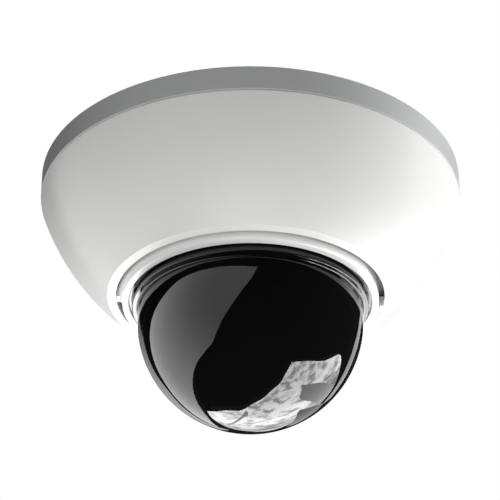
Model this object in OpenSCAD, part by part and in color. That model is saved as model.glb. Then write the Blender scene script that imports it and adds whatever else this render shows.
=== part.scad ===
// Ceiling dome camera, drawn hanging as it is installed. The ceiling face is the plane z = 0,
// and every depth (a name that ends in _z) is measured down from it.

/* [Housing] */
// Diameter of the rim that meets the ceiling
body_d = 150; // [140:1:190]
// Height of the grey rim band of the base
band_h = 9.2; // [8:0.1:13]
// Depth of the white bowl, from the parting line to the edge of its opening
bowl_h = 37; // [34:0.5:46]
// Radius of the curve that the side of the bowl follows
bowl_arc_r = 88.4; // [76:0.1:130]
// Wall of the bowl
bowl_t = 2.4; // [1.8:0.1:3]
// Thickness of the ceiling plate of the base
plate_t = 3; // [2.4:0.1:4]
// Height of the spigot that centres the bowl on the base
spigot_h = 4.6; // [3:0.1:6]
// Wall of the spigot
spigot_t = 2; // [1.6:0.1:3]
// Softened edge on either side of the parting line
edge_chamfer = 0.5; // [0.2:0.1:1]

/* [Ceiling fixing] */
// Diameter of the circle of ceiling screws
fixing_pcd = 83.3; // [80:0.1:92]
// Diameter of each ceiling screw hole
fixing_hole_d = 4.6; // [4:0.1:5.5]
// Diameter of the pad around each ceiling screw hole
fixing_pad_d = 10; // [9:0.1:11]
// Thickness that the pads add to the plate
fixing_pad_t = 1.5; // [1:0.1:2]
// Diameter of the hole for the grommet
grommet_hole_d = 20; // [16:0.5:24]
// Diameter of the cable hole through the grommet
cable_hole_d = 8; // [6:0.1:10]

/* [Dome] */
// Outer diameter of the smoked bubble
bubble_d = 78.6; // [76:0.1:96]
// Wall of the bubble
bubble_t = 2; // [1.5:0.1:3]
// Straight skirt of the bubble, from its seat to the centre of its round end
bubble_skirt = 7.2; // [5:0.1:9]
// How far the ring at the bubble's root stands out from its skirt
root_w = 2.1; // [1:0.1:2.4]
// Depth of that ring below its seat
root_h = 3.2; // [2:0.1:4]
// Thickness of the bubble's flange
flange_t = 2; // [1.5:0.1:2.6]
// Gap between the root ring and the collar
collar_gap = 1; // [0.6:0.1:1.6]
// How far the collar stands proud of the bowl
collar_proud = 2.2; // [1.6:0.1:3]
// Rounding of the collar's outer edge
collar_round = 2; // [1:0.1:2.4]
// Wall of the collar's neck
neck_t = 1.2; // [1:0.1:1.8]
// How far the collar laps over the bowl's ledge
collar_lap = 1.6; // [1.3:0.1:2.4]
// Width of the groove around the collar
groove_w = 0.54; // [0.4:0.02:1]
// Width of the bevel around the bowl's opening
bevel_w = 3.26; // [2:0.1:5]
// Fall of that bevel
bevel_h = 0.5; // [0.3:0.1:1]
// Angle that one lug takes up
lug_angle = 5; // [4:0.5:8]
// Angle of the nail pocket beside a lug
pocket_angle = 36; // [24:1:44]
// Angle of the two lugs, from the side
lug_at = 4.5; // [-10:0.5:10]
// Angle that one bayonet tab takes up
tab_angle = 28; // [20:1:34]

/* [Gimbal] */
// Diameter of the hub that the turntable hangs in
hub_d = 62; // [58:0.5:66]
// Wall of the hub
hub_t = 2.5; // [2:0.1:3.2]
// Depth of the hub below the ceiling plate
hub_h = 9; // [8:0.1:11]
// Thickness of the yoke arms
arm_t = 2.8; // [2:0.1:3.4]
// Width of the yoke arms
arm_w = 12; // [10:0.5:14]
// Room between the yoke and the liner
arm_room = 8.7; // [6:0.1:9]
// Diameter of the tilt pins
pin_d = 4; // [3:0.1:5]
// Wall of the black liner
liner_t = 1.6; // [1.2:0.1:2.2]
// Gap between liner and bubble
liner_gap = 0.8; // [0.6:0.1:1.2]
// Width of the liner's slot
slot_w = 28; // [27:0.5:30]

/* [Lens] */
// Diameter of the lens barrel
lens_d = 20; // [17:0.1:24]
// Length of the lens in front of the tilt axis
lens_reach = 26.8; // [22:0.1:28]
// Side of the square sensor board
sensor_side = 26; // [22:0.5:27]
// Distance from the tilt axis to the sensor board
sensor_back = 20.2; // [18:0.1:22]

/* [Electronics] */
// Thickness of the circuit boards
board_t = 1.6; // [1.2:0.1:2]
// Length of the board's standoffs
standoff_h = 8; // [6:0.5:9]

/* [Hidden] */
$fn = 96;
// Clearances: a running fit, a slipped-in fit, a free gap and a turning gap.
run_gap = 0.05;
slip_gap = 0.2;
free_gap = 0.3;
seal_gap = 0.1;
// Overshoot of a cut past the face that it leaves, and overlap of two shapes of one solid.
cut = 1;
lap = 1;
// Shanks and heads of the screws
screw_m2_r = 1;
screw_m3_r = 1.5;
m2_head_r = 1.9;
m2_head_h = 1.3;
m3_head_r = 2.8;
m3_head_h = 1.8;
low_head_r = 2.3;
low_head_h = 1.6;

body_r = body_d / 2;
arc_end_z = band_h + bowl_h;
opening_z = arc_end_z + bevel_h;

// Radii of the dome, from the bubble outwards
bubble_r = bubble_d / 2;
root_r = bubble_r + root_w;
collar_in_r = root_r + collar_gap;
seat_w = 0.9;
flange_r = collar_in_r + seat_w;
neck_in_r = flange_r + slip_gap;
neck_out_r = neck_in_r + neck_t;
ledge_in_r = neck_out_r + free_gap;
collar_out_r = neck_out_r + collar_lap;
opening_r = collar_out_r + groove_w;
lip_r = opening_r + bevel_w;
lug_out_r = opening_r - seal_gap;

// Depths of the dome, from the collar's face up into the bowl
collar_z = opening_z + collar_proud;
seat_t = 0.9;
seat_z = collar_z - seat_t;
flange_z = seat_z - flange_t;
gasket_t = 1.4;
gasket_z = flange_z - gasket_t;
clamp_t = 2;
clamp_z = gasket_z - clamp_t;
skirt_h = 2.2;
skirt_z = opening_z - skirt_h;
dust_seal_t = 0.7;
ledge_z = skirt_z - seal_gap - dust_seal_t;
ledge_t = 2;
ledge_top_z = ledge_z - ledge_t;
tab_t = 2;
tab_z = ledge_top_z - free_gap;
neck_top_z = tab_z - tab_t;
tab_reach = 1.8;
lug_top_z = skirt_z + seal_gap;
lug_step = 0.4;
lug_short = 0.5;
lug_z = collar_z - lug_short;
pocket_deep = neck_out_r + seal_gap;
pocket_shift = (collar_out_r * collar_out_r - pocket_deep * pocket_deep)
    / (2 * (pocket_deep - collar_out_r * cos(pocket_angle)));

// The bubble, the liner and the tilt axis share one centre
pivot_z = seat_z + bubble_skirt;
liner_r = bubble_r - bubble_t - liner_gap;
liner_in_r = liner_r - liner_t;
liner_top_z = flange_z - flange_t;
liner_rim = 2;
liner_screw_drop = 2.3;
liner_screw_z = liner_top_z + liner_rim + liner_screw_drop;
slot_top = 7;
slot_back = 14;
ear_h = 7;
ear_w = 9;
ear_t = 1.6;
ear_root = 1;
ear_foot = 3;

// Bowl: one arc from the parting line to the edge of the opening
arc_from = [body_r, -band_h];
arc_to = [lip_r, -arc_end_z];
function inner_centre(p, q, r) =
    let (d = q - p, n = [d.y, -d.x] / norm(d))
    (p + q) / 2 + n * sqrt(r * r - d * d / 4);
bowl_centre = inner_centre(arc_from, arc_to, bowl_arc_r);
bowl_in_arc_r = bowl_arc_r - bowl_t;
function bowl_inside_r(z) = bowl_centre.x + sqrt(pow(bowl_in_arc_r, 2) - pow(z + bowl_centre.y, 2));

// Base
spigot_z = band_h + spigot_h;
spigot_r = bowl_inside_r(spigot_z) - free_gap;
seal_w = 1.6;
seal_h = 1.6;
seal_r = min(spigot_r + seal_w, bowl_inside_r(band_h + seal_h) - seal_gap);
fixing_r = fixing_pcd / 2;
fixing_count = 4;
hub_r = hub_d / 2;
hub_z = plate_t + hub_h;

// Turntable, trapped between the hub and the ring screwed on under it
table_flange_t = 1.8;
keeper_z = hub_z + table_flange_t + 2 * seal_gap;
keeper_t = 2;
keeper_in_r = hub_r - hub_t - seal_gap;
keeper_w = 5;
keeper_r = hub_r + keeper_w - hub_t;
table_flange_step = 0.8;
table_flange_r = hub_r - table_flange_step;
table_r = keeper_in_r - free_gap;
table_z = keeper_z + keeper_t;
table_hole_r = 9;
table_wall = 2;
table_room = 3;
keeper_screws_n = 3;
keeper_screw_l = 6;
keeper_boss_r = 3.4;
keeper_screw_at = 45;
keeper_boss_sunk = 0.6;
keeper_screw_r = hub_r + keeper_boss_r - keeper_boss_sunk;
arm_out_x = min(liner_in_r - arm_room, sqrt(pow(keeper_in_r, 2) - pow(arm_w / 2, 2)) - free_gap);
arm_in_x = arm_out_x - arm_t;
pin_r = pin_d / 2;
pin_head_r = 4;
pin_head_h = 2;
lock_tip_r = table_r + free_gap;
lock_head_h = 2;
lock_z = plate_t + hub_h / 2;
lock_pad = 8;
pan_lock_at = 105;

// Cradle and the camera core that turns in it
lens_r = lens_d / 2;
core_bore_r = lens_r + slip_gap;
core_wall = 5.3;
core_r = core_bore_r + core_wall;
cradle_in_r = core_r + run_gap;
cradle_t = 2.9;
cradle_r = cradle_in_r + cradle_t;
cradle_h = 8;
cradle_top_z = pivot_z - cradle_h / 2;
cradle_low_z = pivot_z + cradle_h / 2;
boss_r = 3.9;
boss_end_x = arm_in_x - free_gap;
core_flange_w = 2;
core_flange_r = core_r + core_flange_w;
core_flange_t = 2.4;
core_tail = 1.8;
core_top_z = cradle_top_z - seal_gap - core_flange_t;
core_low_z = cradle_low_z + core_tail;
clip_groove_d = 0.8;
clip_t = 1;
clip_w = 1.4;
clip_r = core_r + clip_w;
clip_mouth = 6;
clip_top_z = cradle_low_z + seal_gap;

// Sensor block behind the core
sensor_z = pivot_z - sensor_back;
board_top_z = sensor_z - board_t;
chip_side = 9;
chip_t = 1.2;
filter_side = 12;
filter_t = 0.8;
filter_gap = 4;
filter_z = sensor_z + filter_gap;
filter_seat = 1;
sensor_screw_in = 3;
sensor_screw_at = sensor_side / 2 - sensor_screw_in;
sensor_screw_l = 5;

// Lens in front of the core
lens_front_z = pivot_z + lens_reach;
lens_inset = 1;
lens_rear_z = core_top_z + lens_inset;
ring_wall = 3;
ring_r = lens_r + ring_wall;
ring_in_r = lens_r + run_gap;
ring_h = 6.6;
ring_step = 8.6;
zoom_room = 2;
zoom_z = core_low_z + zoom_room;
focus_z = zoom_z + ring_step;
bezel_gap = 0.6;
bezel_z = focus_z + ring_h + bezel_gap;
bezel_w = 2;
bezel_r = lens_r + bezel_w;
bezel_deep = 1.4;
glass_wall = 1.2;
glass_r = lens_r - glass_wall;
glass_seat = 1;
glass_t = 1.6;
glass_crown = 1.2;
lever_r = 1.2;
lever_reach = 4;
lever_tip_r = ring_r + lever_reach;
lever_root_r = ring_in_r + slip_gap;
lever_knob_r = 1.9;
lever_knob_l = 2.2;
rib_count = 24;
rib_w = 0.9;
rib_depth = 0.4;
rib_first = 7.5;

// Main board, with room around the ceiling screws
main_board_z = plate_t + standoff_h;
board_margin = 4;
main_board_in_r = keeper_screw_r + keeper_boss_r + board_margin / 4;
main_board_r = spigot_r - spigot_t - board_margin;
board_screw_r = main_board_r - board_margin;
board_screws_n = 4;
board_screw_at = 28;
standoff_r = 2.5;
driver_room = 1;
driver_room_r = fixing_pad_d / 2 + driver_room;
parts_shift = 2;
parts_r = (main_board_in_r + main_board_r) / 2 + parts_shift;
board_face_z = main_board_z + board_t;
// Parts on the board, each at its own angle
terminal_at = -40;
socket_at = 62;
processor_at = 232;
capacitor_at = 150;
capacitor_step = 9;
capacitors_n = 3;
capacitor_r = 3.1;
capacitor_h = 8;
processor_side = 14;
processor_t = 1.4;

// Spring clips that hold the bowl: a rib inside the bowl sits behind the bulge of each leaf
cover_clips_n = 3;
cover_clip_at = 15;
leaf_w = 10;
catch_gap = 0.5;
catch_t = 2;
catch_top_z = spigot_z + catch_gap;
catch_low_z = catch_top_z + catch_t;
leaf_t = 0.8;
leaf_foot = 7;
bulge_r = 1.2;
bulge_z = catch_low_z + bulge_r + free_gap;
bulge_out_r = bowl_inside_r(bulge_z + bulge_r) - free_gap;
leaf_x = sqrt(pow(bulge_out_r, 2) - pow(leaf_w / 2, 2)) - bulge_r + leaf_t / 2;
leaf_tail = 2;
leaf_z = bulge_z + leaf_tail;
catch_in_r = bulge_out_r + slip_gap;
catch_angle = 12;
clip_screw_in = 4.4;
clip_screw_r = leaf_x - clip_screw_in;

// ---- Shared shapes. z0 and z1 are depths, z0 the nearer to the ceiling. ----

// Disc or tube about the vertical axis
module disc(r, z0, z1) {
    translate([0, 0, -z1]) cylinder(r = r, h = z1 - z0);
}

module tube(r, in_r, z0, z1) {
    difference() {
        disc(r, z0, z1);
        disc(in_r, z0 - cut, z1 + cut);
    }
}

// Copies spaced evenly about the axis, at one radius
module around(count, r = 0, first = 0) {
    for (i = [0 : count - 1])
        rotate([0, 0, first + i * 360 / count]) translate([r, 0, 0]) children();
}

// Flat wedge between two angles, wide enough to cover radius r
module wedge(r, from, to) {
    polygon([[0, 0], 2 * r * [cos(from), sin(from)],
             2 * r * [cos((from + to) / 2), sin((from + to) / 2)], 2 * r * [cos(to), sin(to)]]);
}

// Part of a tube between two angles
module tube_sector(r, in_r, from, to, z0, z1) {
    translate([0, 0, -z1]) linear_extrude(height = z1 - z0) intersection() {
        difference() {
            circle(r = r);
            circle(r = in_r);
        }
        wedge(r, from, to);
    }
}

// Block centred on x and y
module block(x, y, z0, z1) {
    translate([-x / 2, -y / 2, -z1]) cube([x, y, z1 - z0]);
}

// Screw under the face at depth z, its shank running up towards the ceiling
module screw_up(r, shank, z, head_r, head_h) {
    difference() {
        union() {
            disc(r, z - shank, z + head_h / 2);
            disc(head_r, z, z + head_h);
        }
        block(head_r * 1.5, head_h / 3, z + head_h / 2, z + head_h + cut);
        block(head_h / 3, head_r * 1.5, z + head_h / 2, z + head_h + cut);
    }
}

// Outline of the bowl's solid between two depths, bounded by an arc about its centre
module bowl_zone(arc_r, z0, z1) {
    intersection() {
        translate(bowl_centre) circle(r = arc_r, $fn = 360);
        translate([0, -z1]) square([body_r, z1 - z0]);
    }
}

// ---- Base ----

module mount_base() {
    color("lightgray") difference() {
        union() {
            rotate_extrude() polygon([
                [0, 0], [body_r, 0], [body_r, -(band_h - edge_chamfer)],
                [body_r - edge_chamfer, -band_h], [spigot_r, -band_h], [spigot_r, -spigot_z],
                [spigot_r - spigot_t, -spigot_z], [spigot_r - spigot_t, -plate_t], [0, -plate_t]]);
            tube(hub_r, hub_r - hub_t, 0, hub_z);
            around(fixing_count, fixing_r) disc(fixing_pad_d / 2, 0, plate_t + fixing_pad_t);
            around(keeper_screws_n, keeper_screw_r, keeper_screw_at)
                disc(keeper_boss_r, 0, keeper_z);
            rotate([0, 0, pan_lock_at]) translate([hub_r - hub_t / 2, -lock_pad / 2, -hub_z])
                cube([hub_t, lock_pad, hub_h]);
        }
        around(fixing_count, fixing_r)
            disc(fixing_hole_d / 2, -cut, plate_t + fixing_pad_t + cut);
        disc(grommet_hole_d / 2, -cut, plate_t + cut);
        around(keeper_screws_n, keeper_screw_r, keeper_screw_at)
            disc(screw_m3_r, plate_t, keeper_z + cut);
        around(board_screws_n, board_screw_r, board_screw_at)
            disc(screw_m3_r, plate_t / 3, plate_t + cut);
        around(cover_clips_n, clip_screw_r, cover_clip_at)
            disc(screw_m3_r, plate_t / 3, plate_t + cut);
        lock_screw_place() cylinder(r = screw_m3_r, h = hub_r + hub_t);
    }
}

// Rubber ring round the spigot, under the edge of the bowl
module cover_seal() {
    color("dimgray") tube(seal_r, spigot_r, band_h, band_h + seal_h);
}

// Grommet with a lip on each side of the ceiling plate, the upper lip let into the plate's hole
module cable_grommet() {
    lip = 2;
    color("black") difference() {
        union() {
            disc(grommet_hole_d / 2, 0, plate_t + lip);
            disc(grommet_hole_d / 2 + lip, plate_t, plate_t + lip);
        }
        disc(cable_hole_d / 2, -cut, plate_t + lip + cut);
    }
}

module pan_keeper() {
    color("silver") translate([0, 0, -keeper_z - keeper_t]) linear_extrude(height = keeper_t)
        difference() {
            union() {
                circle(r = keeper_r);
                around(keeper_screws_n, keeper_screw_r, keeper_screw_at) circle(r = keeper_boss_r);
            }
            circle(r = keeper_in_r);
            around(keeper_screws_n, keeper_screw_r, keeper_screw_at)
                circle(r = screw_m3_r + slip_gap);
        }
}

module keeper_screws() {
    color("silver") around(keeper_screws_n, keeper_screw_r, keeper_screw_at)
        screw_up(screw_m3_r, keeper_screw_l, keeper_z + keeper_t, m3_head_r, m3_head_h);
}

// Radial screw in the hub that locks the pan
module lock_screw_place() {
    rotate([0, 0, pan_lock_at]) translate([0, 0, -lock_z]) rotate([0, 90, 0]) children();
}

module pan_lock_screw() {
    head_z = hub_r + hub_t / 2;
    slot = 0.8;
    color("silver") lock_screw_place() difference() {
        union() {
            translate([0, 0, lock_tip_r]) cylinder(r = screw_m3_r, h = head_z - lock_tip_r + lap);
            translate([0, 0, head_z]) cylinder(r = m3_head_r, h = lock_head_h);
        }
        translate([-m3_head_r - cut, -slot / 2, head_z + lock_head_h / 2])
            cube([2 * (m3_head_r + cut), slot, lock_head_h]);
    }
}

// ---- Main board ----
module main_board() {
    color("darkgreen") difference() {
        tube(main_board_r, main_board_in_r, main_board_z, board_face_z);
        around(fixing_count, fixing_r) disc(driver_room_r, main_board_z - cut, board_face_z + cut);
        around(board_screws_n, board_screw_r, board_screw_at)
            disc(screw_m3_r + slip_gap, main_board_z - cut, board_face_z + cut);
        around(keeper_screws_n, keeper_screw_r, keeper_screw_at)
            disc(keeper_boss_r + free_gap, main_board_z - cut, board_face_z + cut);
        around(cover_clips_n, clip_screw_r, cover_clip_at)
            disc(driver_room_r, main_board_z - cut, board_face_z + cut);
    }
}

module board_standoffs() {
    color("gold") around(board_screws_n, board_screw_r, board_screw_at)
        tube(standoff_r, screw_m3_r, plate_t, main_board_z);
}

module board_screws() {
    color("silver") around(board_screws_n, board_screw_r, board_screw_at)
        screw_up(screw_m3_r, standoff_h - lap, board_face_z, m3_head_r, m3_head_h);
}

// Screw terminal for two supply wires
module power_terminal() {
    pitch = 5;
    ways = 2;
    tall = 9;
    deep = 8;
    screw_well_r = 1.7;
    screw_well = 2;
    wire_r = 1.4;
    color("seagreen") rotate([0, 0, terminal_at]) translate([parts_r, 0, 0]) difference() {
        block(deep, ways * pitch, board_face_z, board_face_z + tall);
        for (i = [0 : ways - 1]) {
            translate([0, (i - (ways - 1) / 2) * pitch, 0]) {
                disc(screw_well_r, board_face_z + tall - screw_well, board_face_z + tall + cut);
                translate([0, 0, -(board_face_z + tall / 3)]) rotate([0, 90, 0])
                    cylinder(r = wire_r, h = deep);
            }
        }
    }
}

// Coaxial video socket, with its two bayonet studs
module video_socket() {
    barrel_r = 4.8;
    barrel_h = 12;
    base_side = 14;
    base_h = 3;
    wall = 1;
    stud_r = 1;
    stud_l = 1;
    stud_z = board_face_z + barrel_h - 4 * stud_l;
    color("silver") rotate([0, 0, socket_at]) translate([parts_r, 0, 0]) difference() {
        union() {
            block(base_side, base_side, board_face_z, board_face_z + base_h);
            disc(barrel_r, board_face_z + base_h, board_face_z + barrel_h);
            translate([0, barrel_r + stud_l, -stud_z]) rotate([90, 0, 0])
                cylinder(r = stud_r, h = 2 * (barrel_r + stud_l));
        }
        tube(barrel_r - wall, stud_r, board_face_z + base_h + wall,
             board_face_z + barrel_h + cut);
    }
}

module image_processor() {
    color("black") rotate([0, 0, processor_at]) translate([parts_r, 0, 0])
        block(processor_side, processor_side, board_face_z, board_face_z + processor_t);
}

module heat_sink() {
    fin_n = 6;
    fin_t = 1;
    fin_h = 5;
    base_t = 1.5;
    top = board_face_z + processor_t;
    color("silver") rotate([0, 0, processor_at]) translate([parts_r, 0, 0]) {
        block(processor_side, processor_side, top, top + base_t);
        for (i = [0 : fin_n - 1])
            translate([((i + 0.5) / fin_n - 0.5) * processor_side, 0, 0])
                block(fin_t, processor_side, top + base_t / 2, top + base_t + fin_h);
    }
}

module capacitors() {
    color("steelblue") for (i = [0 : capacitors_n - 1])
        rotate([0, 0, capacitor_at + capacitor_step * i]) translate([parts_r, 0, 0])
            disc(capacitor_r, board_face_z, board_face_z + capacitor_h);
}

// ---- Spring clips ----
module cover_clips() {
    foot_z = plate_t + leaf_t;
    color("silver") around(cover_clips_n, 0, cover_clip_at) difference() {
        union() {
            translate([leaf_x - leaf_foot, -leaf_w / 2, -foot_z]) cube([leaf_foot, leaf_w, leaf_t]);
            translate([leaf_x - leaf_t, -leaf_w / 2, -leaf_z])
                cube([leaf_t, leaf_w, leaf_z - plate_t]);
            translate([leaf_x - leaf_t / 2, leaf_w / 2, -bulge_z]) rotate([90, 0, 0])
                cylinder(r = bulge_r, h = leaf_w);
        }
        translate([clip_screw_r, 0, 0]) disc(screw_m3_r + slip_gap, 0, foot_z + cut);
    }
}

module clip_screws() {
    color("silver") around(cover_clips_n, clip_screw_r, cover_clip_at)
        screw_up(screw_m3_r, plate_t / 2, plate_t + leaf_t, low_head_r, low_head_h);
}

// ---- Pan ----
module pan_turntable() {
    color("dimgray") difference() {
        union() {
            disc(table_flange_r, hub_z + seal_gap, hub_z + seal_gap + table_flange_t);
            disc(table_r, hub_z + seal_gap, table_z);
            disc(table_r, plate_t + table_room, hub_z + lap);
            for (side = [-1, 1]) {
                translate([side * (arm_in_x + arm_t / 2), 0, 0])
                    block(arm_t, arm_w, table_z - lap, pivot_z);
                translate([side * (arm_in_x + arm_t / 2) - arm_t / 2, 0, -pivot_z])
                    rotate([0, 90, 0]) cylinder(r = arm_w / 2, h = arm_t);
            }
        }
        disc(table_hole_r, 0, table_z + cut);
        disc(table_r - table_wall, 0, hub_z);
        translate([-body_r, 0, -pivot_z]) rotate([0, 90, 0])
            cylinder(r = pin_r + run_gap, h = body_d);
        for (side = [-1, 1])
            translate([side * arm_in_x, 0, -liner_screw_z]) rotate([0, 90, 0])
                cylinder(r = screw_m2_r, h = 2 * arm_t, center = true);
    }
}

// Black shell inside the bubble, open to the lens along a slot, hung from the yoke by two ears
module inner_liner() {
    color("black") {
        difference() {
            rotate_extrude() {
                difference() {
                    translate([0, -pivot_z]) circle(r = liner_r);
                    translate([0, -pivot_z]) circle(r = liner_in_r);
                    translate([0, -pivot_z]) square([liner_r + cut, liner_r + cut]);
                    translate([-liner_r - cut, -pivot_z - liner_r - cut])
                        square([liner_r + cut, 2 * (liner_r + cut)]);
                }
                translate([liner_in_r, -pivot_z]) square([liner_t, pivot_z - liner_top_z]);
                translate([arm_out_x + ear_t + ear_root, -(liner_top_z + liner_rim)])
                    square([liner_r - arm_out_x - ear_t - ear_root, liner_rim]);
            }
            translate([-slot_w / 2, -liner_r - cut, -(pivot_z + liner_r + cut)])
                cube([slot_w, liner_r + cut + slot_back, liner_r + cut + slot_top]);
        }
        for (side = [-1, 1]) difference() {
            union() {
                translate([side * (arm_out_x + ear_t / 2), 0, 0])
                    block(ear_t, ear_w, liner_top_z, liner_top_z + ear_h);
                translate([side * (arm_out_x + (ear_t + ear_foot) / 2), 0, 0])
                    block(ear_t + ear_foot, ear_w, liner_top_z, liner_top_z + liner_rim);
            }
            translate([side * arm_out_x, 0, -liner_screw_z]) rotate([0, 90, 0])
                cylinder(r = screw_m2_r + slip_gap, h = 3 * ear_t, center = true);
        }
    }
}

module liner_screws() {
    color("silver") for (side = [0, 1])
        mirror([side, 0, 0]) translate([arm_out_x + ear_t, 0, -liner_screw_z])
            rotate([0, 90, 0]) {
                translate([0, 0, -arm_t - ear_t / 2]) cylinder(r = screw_m2_r, h = arm_t + ear_t);
                cylinder(r = m2_head_r, h = m2_head_h);
            }
}

// ---- Tilt ----
module tilt_cradle() {
    color("dimgray") difference() {
        union() {
            disc(cradle_r, cradle_top_z, cradle_low_z);
            for (side = [0, 1])
                mirror([side, 0, 0]) translate([cradle_in_r + lap, 0, -pivot_z]) rotate([0, 90, 0])
                    cylinder(r = boss_r, h = boss_end_x - cradle_in_r - lap);
        }
        disc(cradle_in_r, cradle_top_z - cut, cradle_low_z + cut);
        translate([-body_r, 0, -pivot_z]) rotate([0, 90, 0]) cylinder(r = pin_r, h = body_d);
    }
}

// Shoulder screws on the tilt axis, tight in the cradle and running in the yoke
module tilt_pins() {
    head_x = arm_out_x + slip_gap;
    tip_x = cradle_in_r + lap;
    slot = 1;
    color("silver") for (side = [0, 1])
        mirror([side, 0, 0]) translate([0, 0, -pivot_z]) rotate([0, 90, 0]) difference() {
            union() {
                translate([0, 0, tip_x]) cylinder(r = pin_r, h = head_x - tip_x + lap);
                translate([0, 0, head_x]) cylinder(r = pin_head_r, h = pin_head_h);
            }
            translate([-pin_head_r - cut, -slot / 2, head_x + pin_head_h / 2])
                cube([2 * (pin_head_r + cut), slot, pin_head_h]);
        }
}

// ---- Camera core ----
module camera_core() {
    color("silver") difference() {
        union() {
            disc(core_r, core_top_z, core_low_z);
            disc(core_flange_r, core_top_z, core_top_z + core_flange_t);
        }
        disc(core_bore_r, core_top_z - cut, core_low_z + cut);
        tube(core_r + cut, core_r - clip_groove_d, clip_top_z, clip_top_z + clip_t);
    }
}

// Open spring ring that keeps the core in the cradle
module core_clip() {
    color("silver") difference() {
        tube(clip_r, core_r - clip_groove_d, clip_top_z, clip_top_z + clip_t);
        translate([0, clip_r, 0]) block(clip_mouth, 2 * (clip_r - cut), clip_top_z - cut, clip_top_z + clip_t + cut);
    }
}

module sensor_holder() {
    color("dimgray") difference() {
        block(sensor_side, sensor_side, sensor_z, core_top_z);
        block(filter_side, filter_side, sensor_z - cut, filter_z + filter_t);
        disc(filter_side / 2 - filter_seat, sensor_z - cut, core_top_z + cut);
        for (x = [-1, 1], y = [-1, 1])
            translate([x * sensor_screw_at, y * sensor_screw_at, 0])
                disc(screw_m2_r, sensor_z - cut, sensor_z + sensor_screw_l + cut);
    }
}

module sensor_board() {
    color("darkgreen") difference() {
        block(sensor_side, sensor_side, board_top_z, sensor_z);
        for (x = [-1, 1], y = [-1, 1])
            translate([x * sensor_screw_at, y * sensor_screw_at, 0])
                disc(screw_m2_r + slip_gap, board_top_z - cut, sensor_z + cut);
    }
}

module image_sensor() {
    color("slategray") block(chip_side, chip_side, sensor_z, sensor_z + chip_t);
}

module ir_filter() {
    color("lightblue") block(filter_side, filter_side, filter_z, filter_z + filter_t);
}

// Screws through the sensor board, heads towards the ceiling
module sensor_screws() {
    color("silver") for (x = [-1, 1], y = [-1, 1])
        translate([x * sensor_screw_at, y * sensor_screw_at, 0]) {
            disc(screw_m2_r, board_top_z - m2_head_h / 2, sensor_z + sensor_screw_l);
            disc(m2_head_r, board_top_z - m2_head_h, board_top_z);
        }
}

// Tube from the core to the front bezel, tight in the core
module lens_barrel() {
    color("black") difference() {
        union() {
            disc(core_bore_r, lens_rear_z, core_low_z);
            disc(lens_r, core_low_z - lap, lens_front_z - lap);
            disc(bezel_r, bezel_z, lens_front_z);
        }
        disc(glass_r - glass_seat, lens_rear_z - cut, lens_front_z + cut);
        disc(glass_r, lens_front_z - glass_t - bezel_deep, lens_front_z + cut);
        disc(glass_r, lens_rear_z - cut, lens_rear_z + glass_t);
    }
}

// Domed glass, its crown facing out of the barrel
module front_lens() {
    sag_r = (glass_r * glass_r + glass_crown * glass_crown) / (2 * glass_crown);
    face_z = lens_front_z - bezel_deep;
    color("lightblue") intersection() {
        disc(glass_r, face_z - glass_t, face_z + glass_crown);
        translate([0, 0, -(face_z + glass_crown - sag_r)]) sphere(r = sag_r, $fn = 200);
    }
}

module rear_lens() {
    color("lightblue") disc(glass_r, lens_rear_z, lens_rear_z + glass_t);
}

// Ring with fine grip ribs and a tapped hole for its lever
module grip_ring(z) {
    difference() {
        tube(ring_r, ring_in_r, z, z + ring_h);
        around(rib_count, ring_r, rib_first)
            block(2 * rib_depth, rib_w, z - cut, z + ring_h + cut);
        translate([0, 0, -(z + ring_h / 2)]) rotate([0, 90, 0])
            cylinder(r = lever_r, h = ring_r + cut);
    }
}

// Lock lever screwed into a ring, with a knob at its tip
module ring_lever(z) {
    translate([0, 0, -(z + ring_h / 2)]) rotate([0, 90, 0]) {
        translate([0, 0, lever_root_r]) cylinder(r = lever_r, h = lever_tip_r - lever_root_r);
        translate([0, 0, lever_tip_r - lever_knob_l]) cylinder(r = lever_knob_r, h = lever_knob_l);
    }
}

module zoom_ring() {
    color("dimgray") grip_ring(zoom_z);
}

module zoom_lever() {
    color("silver") ring_lever(zoom_z);
}

module focus_ring() {
    color("dimgray") rotate([0, 0, 180]) grip_ring(focus_z);
}

module focus_lever() {
    color("silver") rotate([0, 0, 180]) ring_lever(focus_z);
}

// ---- Cover ----
module cover_bowl() {
    color("white") {
        rotate_extrude() difference() {
            union() {
                bowl_zone(bowl_arc_r, band_h, arc_end_z);
                polygon([[0, -arc_end_z + bevel_h], [lip_r, -arc_end_z + bevel_h], [lip_r, -arc_end_z],
                         [opening_r, -opening_z], [0, -opening_z]]);
            }
            bowl_zone(bowl_in_arc_r, 0, ledge_top_z);
            translate([0, -ledge_z]) square([ledge_in_r, ledge_z]);
            translate([0, -opening_z - cut]) square([opening_r, opening_z + cut - ledge_z]);
        }
        around(cover_clips_n, 0, cover_clip_at) cover_catch();
    }
}

// Rib inside the bowl that a spring clip snaps behind
module cover_catch() {
    tube_sector(bowl_inside_r(catch_low_z) + bowl_t / 2, catch_in_r,
                -catch_angle / 2, catch_angle / 2, catch_top_z, catch_low_z);
}

// Black ring on the ledge, under the skirt of the collar
module dust_seal() {
    color("black") tube(opening_r, ledge_in_r, ledge_z, ledge_z + dust_seal_t);
}

// ---- Dome ----

// Region outside a wide arc that falls away from the rim towards the lug. The wedge starts where
// the arc is already clear of the collar.
module nail_pocket() {
    difference() {
        wedge(body_r, -pocket_angle - lug_angle, 0);
        translate([-pocket_shift, 0]) circle(r = pocket_deep + pocket_shift, $fn = 200);
    }
}

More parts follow.
